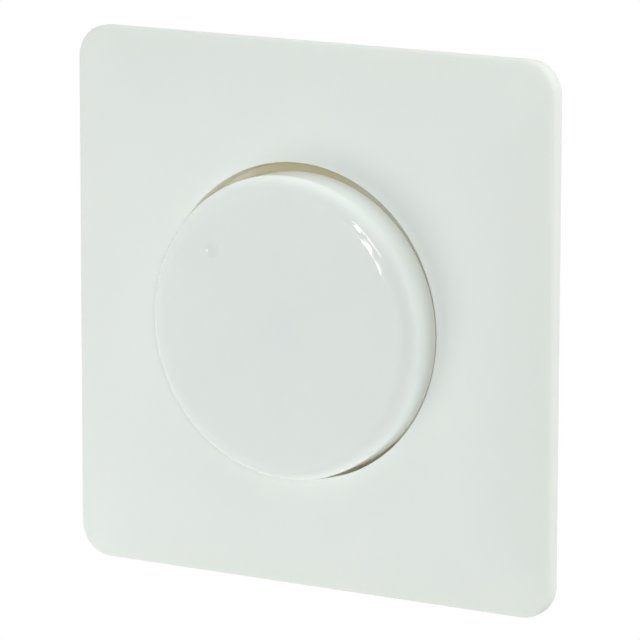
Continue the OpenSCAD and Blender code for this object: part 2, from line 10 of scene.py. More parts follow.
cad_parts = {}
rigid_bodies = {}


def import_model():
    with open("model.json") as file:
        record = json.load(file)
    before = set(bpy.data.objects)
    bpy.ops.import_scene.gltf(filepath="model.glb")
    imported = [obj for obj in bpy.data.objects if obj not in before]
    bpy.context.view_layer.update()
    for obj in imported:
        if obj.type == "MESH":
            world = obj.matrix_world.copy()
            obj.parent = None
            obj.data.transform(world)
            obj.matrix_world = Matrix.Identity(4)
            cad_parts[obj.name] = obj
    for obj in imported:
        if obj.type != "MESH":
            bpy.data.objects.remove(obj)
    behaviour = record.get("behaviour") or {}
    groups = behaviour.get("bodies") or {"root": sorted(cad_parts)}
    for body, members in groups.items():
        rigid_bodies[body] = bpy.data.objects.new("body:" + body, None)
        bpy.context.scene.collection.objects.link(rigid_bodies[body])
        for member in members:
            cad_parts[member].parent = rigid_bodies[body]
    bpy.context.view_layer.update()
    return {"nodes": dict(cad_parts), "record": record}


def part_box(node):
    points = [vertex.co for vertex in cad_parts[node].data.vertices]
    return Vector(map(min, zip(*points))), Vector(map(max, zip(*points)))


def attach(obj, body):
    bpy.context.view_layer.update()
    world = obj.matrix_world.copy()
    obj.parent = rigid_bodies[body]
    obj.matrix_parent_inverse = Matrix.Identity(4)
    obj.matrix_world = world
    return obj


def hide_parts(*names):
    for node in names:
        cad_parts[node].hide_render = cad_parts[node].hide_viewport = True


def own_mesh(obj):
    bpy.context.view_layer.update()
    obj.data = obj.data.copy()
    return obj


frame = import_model()

bl_info = {
    "name": "Rotary dimmer",
    "version": (1, 0, 0),
    "blender": (4, 5, 0),
    "location": "View3D > Sidebar > Dimmer",
    "description": "Models the plate, the knob and the insert of a rotary dimmer over its frame",
    "category": "Object",
}

MM = 0.001
plate_low, plate_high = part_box("cover_plate")
knob_low, knob_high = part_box("dimmer_knob")


def linear(code):
    """Linear colour of an sRGB hex value, with an alpha of 1."""
    parts = [int(code[at : at + 2], 16) / 255 for at in (1, 3, 5)]
    return [p / 12.92 if p <= 0.04045 else ((p + 0.055) / 1.055) ** 2.4 for p in parts] + [1.0]


# Sizes and colours that a user would change


def length_property(name, description, default):
    """One length, in metres, shown in the scene's unit."""
    return bpy.props.FloatProperty(
        name=name, description=description, default=default, min=0.0, precision=5, unit="LENGTH"
    )


def colour_property(name, description, code):
    """One colour, written as an sRGB hex value."""
    return bpy.props.FloatVectorProperty(
        name=name, description=description, default=linear(code), size=4, min=0.0, max=1.0,
        subtype="COLOR",
    )


class DimmerSizes(bpy.types.PropertyGroup):
    """Sizes of the plate and the knob, and the pitch of the claw screws."""

    plate_side: length_property("Plate side", "Side of the square plate", plate_high.x - plate_low.x)
    plate_face: length_property("Plate face", "Height of the plate's face over the wall", -plate_low.y)
    plate_rim: length_property("Plate rim", "Height of the plate's rim over the wall", 2.0 * MM)
    plate_corner: length_property("Plate corner", "Radius of the plate's corners", 5.0 * MM)
    plate_edge: length_property("Plate edge", "Radius along the plate's rim", 0.8 * MM)
    plate_wall: length_property("Plate wall", "Wall thickness of the plate", 1.8 * MM)
    plate_flat: length_property("Plate flat", "Half the width of the flat face", 25.5 * MM)
    opening_radius: length_property("Opening", "Radius of the plate's opening", 23.1 * MM)
    opening_lip: length_property("Opening lip", "Radius of the opening's edge", 0.1 * MM)
    knob_radius: length_property("Knob radius", "Radius of the knob", knob_high.x)
    knob_face: length_property("Knob face", "Height of the knob's face over the wall", -knob_low.y)
    knob_skirt: length_property("Knob skirt", "Height of the knob's lower edge", -knob_high.y)
    knob_edge: length_property("Knob edge", "Radius of the knob's front edge", 2.5 * MM)
    index_radius: length_property("Index radius", "Distance of the index dimple from the axis", 15.5 * MM)
    index_width: length_property("Index width", "Width of the index dimple", 2.4 * MM)
    index_angle: bpy.props.FloatProperty(
        name="Index angle",
        description="Angle of the index dimple, anticlockwise from the right",
        default=math.radians(136),
        subtype="ANGLE",
    )
    thread_pitch: length_property("Thread pitch", "Pitch of the claw screws", 0.5 * MM)


class DimmerColours(bpy.types.PropertyGroup):
    """Colours of the finishes that show most."""

    plate: colour_property("Plate", "Moulded plate", "#DFE4E0")
    plate_shade: colour_property("Plate shade", "Slow drift in the plate's moulding", "#DBE1DC")
    # The four gap colours are painted shade on the wall inside the plate's opening: warmer at the top,
    # darker at the lower right, paler at the upper left
    gap: colour_property("Gap", "Dusty wall inside the plate's opening", "#DBD7C6")
    gap_top: colour_property("Gap, top", "The same wall at the top, where it has aged to cream", "#DAD0B2")
    gap_left: colour_property("Gap, left", "The same wall at the upper left, where it is cleaner", "#ECE6D4")
    gap_low: colour_property("Gap, low", "The same wall at the lower right, where dirt lies", "#B2A488")
    knob: colour_property("Knob", "Moulded knob", "#DAE0DD")
    knob_shade: colour_property("Knob shade", "Slow drift in the knob's moulding", "#D7DDDA")
    # Painted shade in the knob's index dimple
    index: colour_property("Index", "Dust in the knob's index dimple", "#D4DAD6")
    steel: colour_property("Steel", "Bright zinc plating", "#CBCDCD")
    steel_shade: colour_property("Steel shade", "Dull spangle in the zinc", "#A9ACAE")
    claw: colour_property("Claw", "Yellow passivation", "#CDB878")
    claw_shade: colour_property("Claw shade", "Pink and green drift in the passivation", "#B8A48E")
    housing: colour_property("Housing", "Dark grey nylon", "#3B3D40")
    housing_shade: colour_property("Housing shade", "Glass fibre near the nylon's surface", "#4A4C50")


# Shared tools of modelling


def rest():
    """Leaves edit mode and deselects every object."""
    if bpy.context.object and bpy.context.object.mode != "OBJECT":
        bpy.ops.object.mode_set(mode="OBJECT")
    bpy.ops.object.select_all(action="DESELECT")


def edit(piece):
    """Opens one piece in edit mode, with all of it selected."""
    rest()
    piece.select_set(True)
    bpy.context.view_layer.objects.active = piece
    bpy.ops.object.mode_set(mode="EDIT")
    bpy.ops.mesh.select_all(action="SELECT")


def pick(test, kind="VERT"):
    """Selects the vertices, edges or faces of the open piece whose middle passes the test."""
    bpy.ops.mesh.select_mode(type=kind)
    bpy.ops.mesh.select_all(action="DESELECT")
    mesh = bmesh.from_edit_mesh(bpy.context.object.data)
    for part in {"VERT": mesh.verts, "EDGE": mesh.edges, "FACE": mesh.faces}[kind]:
        corners = [part] if kind == "VERT" else part.verts
        middle = sum((corner.co for corner in corners), Vector()) / len(corners)
        part.select_set(bool(test(middle)))
    mesh.select_flush_mode()
    bmesh.update_edit_mesh(bpy.context.object.data)


def settle(name):
    """Names the active piece and puts its place into its mesh."""
    rest()
    piece = bpy.context.view_layer.objects.active
    piece.select_set(True)
    bpy.ops.object.transform_apply(location=True, rotation=True, scale=True)
    piece.name = name
    piece.data.name = name
    return piece


def draw(name, points):
    """Draws an open line through the points by extruding one vertex."""
    rest()
    bpy.ops.mesh.primitive_plane_add(size=MM, location=points[0])
    piece = settle(name)
    edit(piece)
    bpy.ops.mesh.merge(type="CENTER")
    for here, there in zip(points, points[1:]):
        step = [b - a for a, b in zip(here, there)]
        bpy.ops.mesh.extrude_vertices_move(TRANSFORM_OT_translate={"value": step})
    bpy.ops.mesh.select_all(action="SELECT")
    return piece


def close_up():
    """Merges the open piece's doubles and turns its faces outwards."""
    bpy.ops.mesh.select_all(action="SELECT")
    bpy.ops.mesh.remove_doubles(threshold=0.002 * MM)
    bpy.ops.mesh.normals_make_consistent(inside=False)


def lathe(name, profile, steps=128):
    """Spins a profile of (radius, depth) pairs round the shaft's axis."""
    piece = draw(name, [(radius, depth, 0.0) for radius, depth in profile])
    bpy.ops.mesh.spin(steps=steps, angle=math.tau, center=(0, 0, 0), axis=(0, 1, 0))
    close_up()
    return piece


def arc(middle, radius, start, end, steps):
    """Points of an arc in (width, height), between two angles in degrees."""
    angles = [math.radians(start + (end - start) * at / steps) for at in range(steps + 1)]
    return [(middle[0] + radius * math.cos(a), middle[1] + radius * math.sin(a)) for a in angles]


def apply_modifier(piece, kind, **settings):
    """Adds one modifier with its settings and applies it."""
    rest()
    piece.select_set(True)
    bpy.context.view_layer.objects.active = piece
    modifier = piece.modifiers.new(kind.title(), kind)
    for key, value in settings.items():
        setattr(modifier, key, value)
    bpy.ops.object.modifier_apply(modifier=modifier.name)


def smooth(piece, degrees):
    """Shades a piece smooth, except across edges sharper than the angle."""
    rest()
    piece.select_set(True)
    bpy.context.view_layer.objects.active = piece
    bpy.ops.object.shade_smooth_by_angle(angle=math.radians(degrees))


def dress(piece, material, body, slot, *nodes):
    """Gives a piece its material, its body and the nodes that it stands for."""
    piece.data.materials.clear()
    piece.data.materials.append(material)
    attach(piece, body)
    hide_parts(*nodes)


def body_of(node):
    """The moving body that carries a node."""
    bodies = frame["record"]["behaviour"]["bodies"]
    return next(body for body, members in bodies.items() if node in members)


def slot_of(node):
    """The record's material slot of a node."""
    return next(part["material_slot"] for part in frame["record"]["subparts"] if part["node"] == node)


def soften(node, radius, material):
    """Copies a node, breaks its sharp edges as tumbling or moulding does, and stands for it."""
    rest()
    piece = bpy.data.objects.new(node + "_soft", frame["nodes"][node].data.copy())
    bpy.context.scene.collection.objects.link(piece)
    edit(piece)
    bpy.ops.mesh.remove_doubles(threshold=0.002 * MM)
    bpy.ops.mesh.dissolve_limited(angle_limit=math.radians(1))
    apply_modifier(
        piece, "BEVEL", width=radius, segments=2, limit_method="ANGLE", angle_limit=math.radians(40),
        use_clamp_overlap=True, harden_normals=False,
    )
    smooth(piece, 32)
    apply_modifier(piece, "WEIGHTED_NORMAL", keep_sharp=True)
    dress(piece, material, body_of(node), slot_of(node), node)
    return piece


# Materials


def add(tree, kind, settings=None, links=None):
    """Adds one shader node with its settings and the sockets that feed it."""
    node = tree.nodes.new(kind)
    for key, value in (settings or {}).items():
        if isinstance(key, int) or key in node.inputs:
            node.inputs[key].default_value = value
        else:
            setattr(node, key, value)
    for key, source in (links or {}).items():
        tree.links.new(source, node.inputs[key])
    return node


def finish(name, light, dark, patch, rough, grain, depth, settings=None):
    """A surface whose colour drifts between two shades, with a grain in its gloss and its relief."""
    material = bpy.data.materials.new(name)
    material.use_nodes = True
    tree = material.node_tree
    shader = tree.nodes["Principled BSDF"]
    for key, value in (settings or {}).items():
        shader.inputs[key].default_value = value
    place = add(tree, "ShaderNodeTexCoord").outputs["Object"]
    drift = add(tree, "ShaderNodeTexNoise", {"Scale": 1 / patch, "Detail": 3.0}, {"Vector": place})
    colour = add(
        tree, "ShaderNodeMix", {"data_type": "RGBA", 6: light, 7: dark}, {0: drift.outputs["Fac"]}
    )
    tree.links.new(colour.outputs[2], shader.inputs["Base Color"])
    fine = add(tree, "ShaderNodeTexNoise", {"Scale": 1 / grain, "Detail": 2.0}, {"Vector": place})
    gloss = add(
        tree,
        "ShaderNodeMapRange",
        {"To Min": rough[0], "To Max": rough[1]},
        {"Value": fine.outputs["Fac"]},
    )
    tree.links.new(gloss.outputs["Result"], shader.inputs["Roughness"])
    relief = add(tree, "ShaderNodeBump", {"Distance": depth}, {"Height": fine.outputs["Fac"]})
    tree.links.new(relief.outputs["Normal"], shader.inputs["Normal"])
    return material


# White pigment lets a little light wander under the skin, which softens each narrow shadow
WHITE_DEPTH = {
    "Subsurface Weight": 0.7,
    "Subsurface Radius": (1.0, 0.95, 0.8),
    "Subsurface Scale": 2.0 * MM,
}


def paint_tone(material, amount, colour):
    """Lets a second colour show on a finish as far as the amount says."""
    tree = material.node_tree
    shader = tree.nodes["Principled BSDF"]
    clean = shader.inputs["Base Color"].links[0].from_socket
    mixed = add(tree, "ShaderNodeMix", {"data_type": "RGBA", 7: colour}, {0: amount, 6: clean})
    tree.links.new(mixed.outputs[2], shader.inputs["Base Color"])


def reach_from(material, x, z):
    """How far the surface lies from the line through x and z that points out of the wall."""
    tree = material.node_tree
    place = next(node for node in tree.nodes if node.type == "TEX_COORD").outputs["Object"]
    centred = add(
        tree, "ShaderNodeMapping", {"Location": (-x, 0, -z), "Scale": (1, 0, 1)}, {"Vector": place}
    )
    reach = add(tree, "ShaderNodeVectorMath", {"operation": "LENGTH"}, {0: centred.outputs["Vector"]})
    return place, reach.outputs["Value"]


def gap_painted_shade(material, sizes, colours, lift):
    """Paints shade on the wall inside the opening, fading out at the lip and towards the face."""
    tree = material.node_tree
    # The painted shade fades out across the lip, and towards the face
    lip_end, wall = sizes.opening_radius + 0.25 * MM, sizes.opening_radius + 0.02 * MM
    unshaded_depth, shaded_depth = -sizes.plate_face + 0.3 * MM, -sizes.plate_face + 1.2 * MM
    place, reach = reach_from(material, 0, lift)
    inside = add(
        tree, "ShaderNodeMapRange", {"From Min": lip_end, "From Max": wall}, {"Value": reach}
    )
    deep = add(tree, "ShaderNodeSeparateXYZ", links={"Vector": place})
    below = add(
        tree,
        "ShaderNodeMapRange",
        {"From Min": unshaded_depth, "From Max": shaded_depth},
        {"Value": deep.outputs["Y"]},
    )
    shaded = add(
        tree,
        "ShaderNodeMath",
        {"operation": "MULTIPLY"},
        {0: inside.outputs["Result"], 1: below.outputs["Result"]},
    )
    paint_tone(material, shaded.outputs["Value"], colours.gap)
    # Painted marks on that wall, by angle, spread and colour: warmer painted shade at the top, deeper
    # painted shade at the lower right, and paler at the upper left
    marks = (
        (96, 13 * MM, colours.gap_top),
        (-60, 6.5 * MM, colours.gap_low),
        (142, 12 * MM, colours.gap_left),
    )
    for angle, spread, colour in marks:
        x = sizes.opening_radius * math.cos(math.radians(angle))
        z = sizes.opening_radius * math.sin(math.radians(angle)) + lift
        near = add(
            tree,
            "ShaderNodeMapRange",
            {"From Min": spread, "From Max": spread / 2},
            {"Value": reach_from(material, x, z)[1]},
        )
        painted_mark = add(
            tree,
            "ShaderNodeMath",
            {"operation": "MULTIPLY"},
            {0: shaded.outputs["Value"], 1: near.outputs["Result"]},
        )
        paint_tone(material, painted_mark.outputs["Value"], colour)


def index_painted_shade(material, sizes, colours):
    """Paints a little shade into the index dimple, darker towards its middle."""
    x = sizes.index_radius * math.cos(sizes.index_angle)
    z = sizes.index_radius * math.sin(sizes.index_angle)
    # Where the painted shade ends, and how far it is at its full strength
    end, full = 0.65 * sizes.index_width, 0.2 * sizes.index_width
    reach = reach_from(material, x, z)[1]
    shaded = add(
        material.node_tree,
        "ShaderNodeMapRange",
        {"From Min": end, "From Max": full},
        {"Value": reach},
    )
    paint_tone(material, shaded.outputs["Result"], colours.index)


def zinc_plate(name, colours):
    """Bright zinc on cold-rolled steel: a clean silver with a faint spangle and a soft gloss."""
    return finish(
        name, colours.steel, colours.steel_shade, 3.0 * MM, (0.24, 0.42), 0.25 * MM, 0.004 * MM,
        {"Metallic": 1.0},
    )


def inner_finishes(colours):
    """Materials by slot, for the nodes that stay as they are and for the return spring."""
    metal = {"Metallic": 1.0}
    return {
        # Spring steel, rolled and oiled: grey, with a tight bright line along each curve
        "spring_steel": finish(
            "Rolled spring steel", linear("#8F9498"), linear("#777C80"), 2 * MM, (0.22, 0.38), 0.2 * MM,
            0.003 * MM, metal,
        ),
        # Zinc-plated steel of the nut, washer and triac screw
        "zinc_steel": zinc_plate("Zinc-plated steel, small hardware", colours),
        # Turned aluminium: pale, with fine rings that spread the light
        "shaft_metal": finish(
            "Turned aluminium", linear("#C9CACC"), linear("#B4B6B9"), 2 * MM, (0.25, 0.4), 0.15 * MM,
            0.004 * MM, metal,
        ),
        # Stamped brass: warm yellow, slightly dulled by handling
        "brass": finish(
            "Stamped brass", linear("#D2B06A"), linear("#B8945A"), 2.5 * MM, (0.25, 0.45), 0.3 * MM,
            0.004 * MM, metal,
        ),
        # Brass under a thin wash of nickel: paler, with yellow at the worn places
        "cage_brass": finish(
            "Nickel-washed brass", linear("#CFC19A"), linear("#B9AC86"), 2 * MM, (0.28, 0.45), 0.3 * MM,
            0.004 * MM, metal,
        ),
        # Compression-moulded phenolic: brown, with flecks of wood flour
        "phenolic": finish(
            "Moulded phenolic", linear("#6A4227"), linear("#53331F"), 0.8 * MM, (0.4, 0.55), 0.2 * MM,
            0.006 * MM,
        ),
        # Screen-printed carbon: black and matt
        "carbon": finish(
            "Printed carbon film", linear("#1B1B1C"), linear("#29292B"), 0.6 * MM, (0.6, 0.75), 0.15 * MM,
            0.004 * MM,
        ),
        # Acetal straight from the mould: waxy off-white
        "natural_plastic": finish(
            "Moulded acetal", linear("#E6E2D2"), linear("#DCD7C6"), 4 * MM, (0.35, 0.45), 0.4 * MM,
            0.003 * MM, {"Subsurface Weight": 0.1, "Subsurface Scale": 0.6 * MM},
        ),
        # Glass-filled nylon: near black, with a dry, fibrous skin
        "switch_plastic": finish(
            "Glass-filled nylon, black", linear("#2A2B2D"), linear("#38393C"), 0.7 * MM, (0.45, 0.62),
            0.25 * MM, 0.008 * MM,
        ),
        # Solder resist over woven laminate: green, the weave just showing through
        "board": finish(
            "Solder resist on laminate", linear("#1F6B35"), linear("#2C7D42"), 0.6 * MM, (0.25, 0.4),
            0.3 * MM, 0.006 * MM, {"Coat Weight": 0.4},
        ),
        # Transfer-moulded epoxy: black, with a fine spark texture
        "epoxy": finish(
            "Moulded epoxy", linear("#1C1C1D"), linear("#242425"), 1.5 * MM, (0.4, 0.55), 0.12 * MM,
            0.006 * MM,
        ),
        # Silicone pad filled with ceramic powder: grey and chalky
        "pad": finish(
            "Filled silicone pad", linear("#9A9C9F"), linear("#8C8E92"), 1 * MM, (0.65, 0.8), 0.2 * MM,
            0.004 * MM,
        ),
        # Pressed iron powder under paint: yellow, thick and slightly uneven
        "iron_powder": finish(
            "Painted iron powder", linear("#D9C04A"), linear("#C7AD3C"), 2 * MM, (0.35, 0.5), 0.4 * MM,
            0.01 * MM,
        ),
        # Drawn copper under clear enamel: deep orange, wet-looking
        "copper": finish(
            "Enamelled copper wire", linear("#C4713F"), linear("#A95C31"), 1.5 * MM, (0.15, 0.28),
            0.2 * MM, 0.002 * MM, {"Metallic": 1.0, "Coat Weight": 0.6},
        ),
        # Box potted in flame-proof plastic: yellow, with a soft gloss
        "capacitor_box": finish(
            "Moulded capacitor box", linear("#D6C04C"), linear("#CBB444"), 3 * MM, (0.3, 0.42), 0.3 * MM,
            0.004 * MM,
        ),
        # Film capacitor dipped in epoxy: red-brown and glossy, a little lumpy
        "capacitor_dip": finish(
            "Dipped epoxy", linear("#A8462F"), linear("#983B27"), 1.5 * MM, (0.12, 0.22), 0.9 * MM,
            0.03 * MM,
        ),
        # Lacquered resistor: pale blue, with the lacquer's ripple
        "resistor_coat": finish(
            "Resistor lacquer", linear("#7FA3BF"), linear("#7297B4"), 1 * MM, (0.25, 0.4), 0.4 * MM,
            0.01 * MM,
        ),
        # Drawn glass tube with nickel caps: pale, clear and bright
        "fuse_glass": finish(
            "Fuse glass", linear("#D9E2E2"), linear("#C9D3D4"), 3 * MM, (0.05, 0.12), 0.8 * MM, 0.002 * MM,
            {"Coat Weight": 0.5},
        ),
        # Nylon of the terminal block: light grey, dry to the touch
        "terminal_plastic": finish(
            "Moulded nylon, light grey", linear("#D3D3CE"), linear("#C8C8C2"), 2 * MM, (0.42, 0.55),
            0.3 * MM, 0.005 * MM,
        ),
    }


# Operators, one for each piece or group of like pieces


class DIMMER_OT_cover_plate(bpy.types.Operator):
    """Models the cushioned square plate with its round opening and the cup behind it"""

    bl_idname = "dimmer.cover_plate"
    bl_label = "Cover plate"

    def execute(self, context):
        sizes = context.scene.dimmer_sizes
        colours = context.scene.dimmer_colours
        lift = (plate_low.z + plate_high.z) / 2
        half = sizes.plate_side / 2
        roll_width = half - sizes.plate_flat
        roll_drop = sizes.plate_face - sizes.plate_rim
        roll_radius = (roll_width**2 + roll_drop**2) / (2 * roll_drop)
        roll_middle = (sizes.plate_flat, sizes.plate_face - roll_radius)
        edge_width = roll_width - sizes.plate_edge
        edge_angle = math.asin(edge_width / (roll_radius - sizes.plate_edge))
        edge_height = roll_middle[1] + (roll_radius - sizes.plate_edge) * math.cos(edge_angle)
        edge_degrees = 90 - math.degrees(edge_angle)
        inner_half = half - sizes.plate_wall
        inner_radius = roll_radius - sizes.plate_wall
        inner_degrees = math.degrees(math.acos((inner_half - sizes.plate_flat) / inner_radius))
        # Radius of the rim's foot, and the flat margin that keeps each curve off its neighbour
        foot, margin = 0.2 * MM, 0.3 * MM
        # Rings of (half width, height): up the rim and over the cushion to the flat face
        front = [(half - foot, 0.0)]
        front += arc((half - foot, foot), foot, -60, 0, 2)
        front += arc((half - sizes.plate_edge, edge_height), sizes.plate_edge, 0, edge_degrees, 5)
        front += arc(roll_middle, roll_radius, edge_degrees, 90, 14)[1:]
        front += [(sizes.plate_flat - margin, sizes.plate_face)]
        # Rings up the inside of the rim and under the cushion
        back = [(half - foot, 0.0), (inner_half, 0.0)]
        back += arc(roll_middle, inner_radius, inner_degrees, 90, 8)
        # Rings of (radius, height): over the lip and down the cup to the hole, and down outside the cup
        lip = sizes.opening_lip
        opening = sizes.opening_radius
        floor, under, hole = 2.2 * MM, 1.0 * MM, 4.85 * MM
        cup_wall, fillet, chamfer = 1.0 * MM, 0.4 * MM, 0.2 * MM
        cup = [(opening + lip + margin, sizes.plate_face)]
        cup += arc((opening + lip, sizes.plate_face - lip), lip, 90, 180, 5)
        cup += arc((opening - fillet, floor + fillet), fillet, 0, -90, 4)
        cup += [(hole + chamfer, floor), (hole, floor - chamfer), (hole, under)]
        outside = [(opening + cup_wall, sizes.plate_face - sizes.plate_wall), (opening + cup_wall, under)]
        rest()
        bpy.ops.mesh.primitive_plane_add(
            size=2 * (half - foot), location=(0, 0, lift), rotation=(math.pi / 2, 0, 0)
        )
        plate = settle("cover_plate_shell")
        edit(plate)
        bpy.ops.mesh.bevel(offset=sizes.plate_corner - foot, segments=8, affect="VERTICES")
        pick(lambda at: min(abs(at.x), abs(at.z - lift)) < MM, "EDGE")
        bpy.ops.mesh.subdivide(number_cuts=23)
        bpy.ops.mesh.select_all(action="SELECT")
        bpy.ops.mesh.delete(type="ONLY_FACE")
        for square, circle in ((front, cup), (back, outside)):
            pick(lambda at: abs(at.y) < 0.001 * MM)
            self.extrude(square, lift)
            self.round_off(circle[0][0], lift)
            self.extrude(circle, lift)
        pick(lambda at: abs(at.y + under) < 0.01 * MM)
        bpy.ops.mesh.bridge_edge_loops()
        close_up()
        smooth(plate, 24)
        # Glossy thermoplastic from a polished mould: an even, faintly green white with a soft shine
        material = finish(
            "Moulded thermoplastic, plate white", colours.plate, colours.plate_shade, 30 * MM,
            (0.36, 0.44), 0.5 * MM, 0.0015 * MM, {"IOR": 1.5, **WHITE_DEPTH},
        )
        # Painted shade on the wall inside the opening
        gap_painted_shade(material, sizes, colours, lift)
        dress(plate, material, "insert", "plate_plastic", "cover_plate")
        return {"FINISHED"}

    def extrude(self, rings, lift):
        """Extrudes the selected ring through (width, height) pairs round the plate's middle."""
        for here, there in zip(rings, rings[1:]):
            bpy.ops.mesh.extrude_edges_move(TRANSFORM_OT_translate={"value": (0, here[1] - there[1], 0)})
            scale = there[0] / here[0]
            bpy.ops.transform.resize(value=(scale, 1, scale), center_override=(0, -there[1], lift))

    def round_off(self, radius, lift):
        """Extrudes the selected square ring in its own plane and draws it to a circle."""
        bpy.ops.mesh.extrude_edges_move()
        bpy.ops.transform.tosphere(value=1.0)
        mesh = bmesh.from_edit_mesh(bpy.context.object.data)
        corner = next(vert.co for vert in mesh.verts if vert.select)
        scale = radius / math.hypot(corner.x, corner.z - lift)
        bpy.ops.transform.resize(value=(scale, 1, scale), center_override=(0, corner.y, lift))


class DIMMER_OT_knob(bpy.types.Operator):
    """Models the round knob: face, rounded edge, skirt, hub, ribs and index dimple"""

    bl_idname = "dimmer.knob"
    bl_label = "Knob"

    def execute(self, context):
        sizes = context.scene.dimmer_sizes
        colours = context.scene.dimmer_colours
        radius, face, skirt, edge = sizes.knob_radius, sizes.knob_face, sizes.knob_skirt, sizes.knob_edge
        wall, ceiling = 1.6 * MM, face - 1.8 * MM
        hub, bore, hub_end, bore_end = 4.2 * MM, 2.05 * MM, 5.9 * MM, face - 1.15 * MM
        rim, chamfer, fillet = 0.3 * MM, 0.3 * MM, 1.0 * MM
        ring_step, wall_top = 0.6 * MM, face - 3.5 * MM
        # Half section of (radius, height), from the middle of the face round to the bore
        section = [(0.0, face), (0.5 * radius, face)]
        section += [(sizes.index_radius + step * ring_step, face) for step in range(-3, 4)]
        section += arc((radius - edge, face - edge), edge, 90, 0, 18)
        section += arc((radius - rim, skirt + rim), rim, 0, -90, 3)
        section += [(radius - wall, skirt), (radius - wall, wall_top)]
        section += arc((radius - wall - fillet, ceiling - fillet), fillet, 0, 90, 4)
        section += [(hub + chamfer, ceiling), (hub, ceiling - chamfer), (hub, hub_end)]
        section += [(bore, hub_end), (bore, bore_end), (0.0, bore_end)]
        knob = lathe("dimmer_knob_cap", [(width, -height) for width, height in section])
        for number in range(6):
            self.rib(math.radians(30 + 60 * number), hub, radius - wall, ceiling)
        self.dimple(sizes)
        smooth(knob, 30)
        apply_modifier(knob, "WEIGHTED_NORMAL", keep_sharp=True)
        # The same thermoplastic from a finer polished cavity: slightly cooler, with a crisper highlight
        material = finish(
            "Moulded thermoplastic, knob white", colours.knob, colours.knob_shade, 25 * MM,
            (0.04, 0.07), 0.5 * MM, 0.0003 * MM, {"IOR": 1.5, **WHITE_DEPTH},
        )
        # Painted shade in the index dimple
        index_painted_shade(material, sizes, colours)
        dress(knob, material, "knob", "knob_plastic", "dimmer_knob")
        return {"FINISHED"}

    def rib(self, angle, hub, outer, ceiling):
        """Adds one stiffening rib under the face, in the open piece."""
        # It starts clear of the hub, and is sunk a little into the skirt and the face
        sunk, height, width, edge = 0.2 * MM, 2.0 * MM, 1.0 * MM, 0.15 * MM
        start, end = hub + 1.2 * MM, outer + sunk
        middle = ((start + end) / 2, -ceiling + (height - sunk) / 2, 0)
        spread = (end - start, height + sunk, width)
        bpy.ops.mesh.select_all(action="DESELECT")
        bpy.ops.mesh.primitive_cube_add(size=1, location=middle)
        bpy.ops.transform.resize(value=spread, center_override=middle)
        bpy.ops.mesh.bevel(offset=edge, segments=2, affect="EDGES")
        bpy.ops.mesh.select_linked()
        bpy.ops.transform.rotate(value=angle, orient_axis="Y", center_override=(0, 0, 0))

    def dimple(self, sizes):
        """Presses the small round index mark into the face of the open piece."""
        x = sizes.index_radius * math.cos(sizes.index_angle)
        z = sizes.index_radius * math.sin(sizes.index_angle)
        face, depth = sizes.knob_face, 0.08 * MM

        def near(at, reach):
            return math.dist(at, (x, -face, z)) < reach

        pick(lambda at: near(at, sizes.index_width), "FACE")
        bpy.ops.mesh.subdivide(number_cuts=3)
        mesh = bmesh.from_edit_mesh(bpy.context.object.data)
        closest = min(math.dist(vert.co, (x, -face, z)) for vert in mesh.verts)
        pick(lambda at: near(at, closest + 0.001 * MM))
        bpy.ops.transform.translate(
            value=(0, depth, 0), use_proportional_edit=True, proportional_size=sizes.index_width / 2,
            proportional_edit_falloff="INVERSE_SQUARE",
        )


class DIMMER_OT_insert(bpy.types.Operator):
    """Breaks the edges of the support frame, the housing and the small fixed hardware"""

    bl_idname = "dimmer.insert"
    bl_label = "Support frame and housing"

    def execute(self, context):
        colours = context.scene.dimmer_colours
        steel = zinc_plate("Zinc-plated sheet steel", colours)
        # Glass-filled nylon: dark grey with paler fibre just under a dry, spark-eroded skin
        nylon = finish(
            "Glass-filled nylon, dark grey", colours.housing, colours.housing_shade, 0.9 * MM,
            (0.42, 0.6), 0.35 * MM, 0.012 * MM,
        )
        soften("support_frame", 0.12 * MM, steel)
        soften("housing_screws", 0.12 * MM, steel)
        soften("claw_pins", 0.15 * MM, steel)
        soften("housing_cover", 0.25 * MM, nylon)
        soften("housing_base", 0.3 * MM, nylon)
        return {"FINISHED"}


class DIMMER_OT_claws(bpy.types.Operator):
    """Breaks the edges of the two spreading claws"""

    bl_idname = "dimmer.claws"
    bl_label = "Claws"

    def execute(self, context):
        colours = context.scene.dimmer_colours
        # Zinc with yellow passivation: straw yellow that drifts to pink and green, with a soft gloss
        yellow = finish(
            "Yellow-passivated steel", colours.claw, colours.claw_shade, 2.2 * MM, (0.26, 0.42), 0.3 * MM,
            0.005 * MM, {"Metallic": 1.0},
        )
        for node in ("claw_left", "claw_right"):
            soften(node, 0.15 * MM, yellow)
        return {"FINISHED"}


